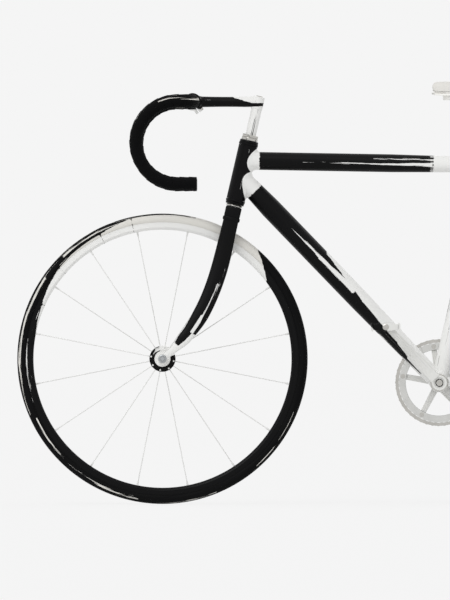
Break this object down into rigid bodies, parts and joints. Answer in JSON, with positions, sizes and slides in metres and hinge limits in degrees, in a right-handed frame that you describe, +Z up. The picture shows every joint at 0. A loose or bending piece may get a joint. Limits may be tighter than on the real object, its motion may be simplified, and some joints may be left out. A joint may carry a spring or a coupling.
{
  "type": "racing bicycle",
  "caption": "Black fixed-wheel racing bicycle with small 650c wheels, a drop handlebar on a quill stem and a long-raked fork.",
  "frame": {"origin": "on the ground, midway between the two axles, in the centre plane", "axes": "+X towards the front wheel, +Y towards the rider's left, +Z up"},
  "size_m": [1.5792, 0.4302, 0.8998],
  "materials": {
    "frame_paint": "gloss black enamel",
    "steel": "bright",
    "alloy": "polished",
    "rim_black": "black anodised",
    "tyre_rubber": "matt",
    "bar_tape": "matt wrapped tape",
    "saddle_cover": "smooth black",
    "plastic": "moulded black"
  },
  "bodies": {
    "frame_body": {"head_tube": "frame_paint", "top_tube": "frame_paint", "down_tube": "frame_paint", "seat_tube": "frame_paint", "bottom_bracket_shell": "frame_paint", "chain_stay_left": "frame_paint", "chain_stay_right": "frame_paint", "seat_stay_left": "frame_paint", "seat_stay_right": "frame_paint", "dropout_left": "frame_paint", "dropout_right": "frame_paint", "headset_lower_cup": "frame_paint", "headset_upper_cup": "frame_paint", "bottom_bracket_cup_left": "steel", "bottom_bracket_cup_right": "steel", "seat_collar": "alloy", "rear_axle": "steel", "rear_axle_nut_left": "steel", "rear_axle_nut_right": "steel", "chain": "steel"},
    "fork_body": {"fork_crown": "frame_paint", "fork_steerer": "steel", "fork_blade_left": "frame_paint", "fork_blade_right": "frame_paint", "crown_race": "steel", "headset_top_race": "steel", "front_axle": "steel", "front_axle_nut_left": "steel", "front_axle_nut_right": "steel"},
    "stem_body": {"stem": "frame_paint", "stem_wedge": "steel"},
    "bar_body": {"handlebar": "alloy", "bar_tape_left": "bar_tape", "bar_tape_right": "bar_tape", "bar_plug_left": "plastic", "bar_plug_right": "plastic"},
    "front_wheel": {"front_tyre": "tyre_rubber", "front_rim": "rim_black", "front_hub_shell": "frame_paint", "front_spokes_left": "steel", "front_spokes_right": "steel"},
    "rear_wheel": {"rear_tyre": "tyre_rubber", "rear_rim": "rim_black", "rear_hub_shell": "frame_paint", "rear_spokes_left": "steel", "rear_spokes_right": "steel", "fixed_cog": "steel"},
    "crankset": {"crank_spindle": "steel", "chainring": "alloy", "crank_arm_left": "alloy", "crank_arm_right": "alloy", "pedal_spindle_left": "steel", "pedal_spindle_right": "steel"},
    "left_pedal": {"pedal_left": "plastic"},
    "right_pedal": {"pedal_right": "plastic"},
    "seatpost_body": {"seatpost": "alloy"},
    "saddle_clamp_body": {"saddle_clamp": "alloy"},
    "saddle_body": {"saddle_rails": "steel", "saddle_shell": "plastic", "saddle_pad": "saddle_cover"}
  },
  "joints": [
    {"name": "steering", "type": "hinge", "parent": "frame_body", "child": "fork_body", "pos_m": [0.32475, 0, 0.64763], "axis": [-0.225, 0, 0.9744], "range_deg": [-115, 115]},
    {"name": "stem_height", "type": "slide", "parent": "fork_body", "child": "stem_body", "axis": [-0.225, 0, 0.9744], "range_m": [-0.055, 0.015]},
    {"name": "bar_roll", "type": "hinge", "parent": "stem_body", "child": "bar_body", "pos_m": [0.41672, 0, 0.85566], "axis": [0, 1, 0], "range_deg": [-20, 20]},
    {"name": "front_wheel_spin", "type": "hinge", "parent": "fork_body", "child": "front_wheel", "pos_m": [0.48062, 0, 0.309], "axis": [0, 1, 0], "continuous": true},
    {"name": "rear_wheel_spin", "type": "hinge", "parent": "frame_body", "child": "rear_wheel", "pos_m": [-0.48062, 0, 0.309], "axis": [0, 1, 0], "continuous": true, "deforming": ["chain"]},
    {"name": "crank_spin", "type": "hinge", "parent": "frame_body", "child": "crankset", "pos_m": [-0.10778, 0, 0.258], "axis": [0, 1, 0], "continuous": true, "deforming": ["chain"]},
    {"name": "pedal_spin_left", "type": "hinge", "parent": "crankset", "child": "left_pedal", "pos_m": [0.00684, 0.1179, 0.37669], "axis": [0, 1, 0], "continuous": true},
    {"name": "pedal_spin_right", "type": "hinge", "parent": "crankset", "child": "right_pedal", "pos_m": [-0.2224, -0.1179, 0.13931], "axis": [0, 1, 0], "continuous": true},
    {"name": "seatpost_height", "type": "slide", "parent": "frame_body", "child": "seatpost_body", "axis": [-0.225, 0, 0.9744], "range_m": [-0.065, 0.025]},
    {"name": "saddle_tilt", "type": "hinge", "parent": "seatpost_body", "child": "saddle_clamp_body", "pos_m": [-0.2423, 0, 0.84067], "axis": [0, 1, 0], "range_deg": [-15, 15]},
    {"name": "saddle_slide", "type": "slide", "parent": "saddle_clamp_body", "child": "saddle_body", "axis": [1, 0, 0], "range_m": [-0.02, 0.02]}
  ],
  "couplings": [
    {"joint": "crank_spin", "follows": "rear_wheel_spin", "ratio": 0.36364}
  ]
}
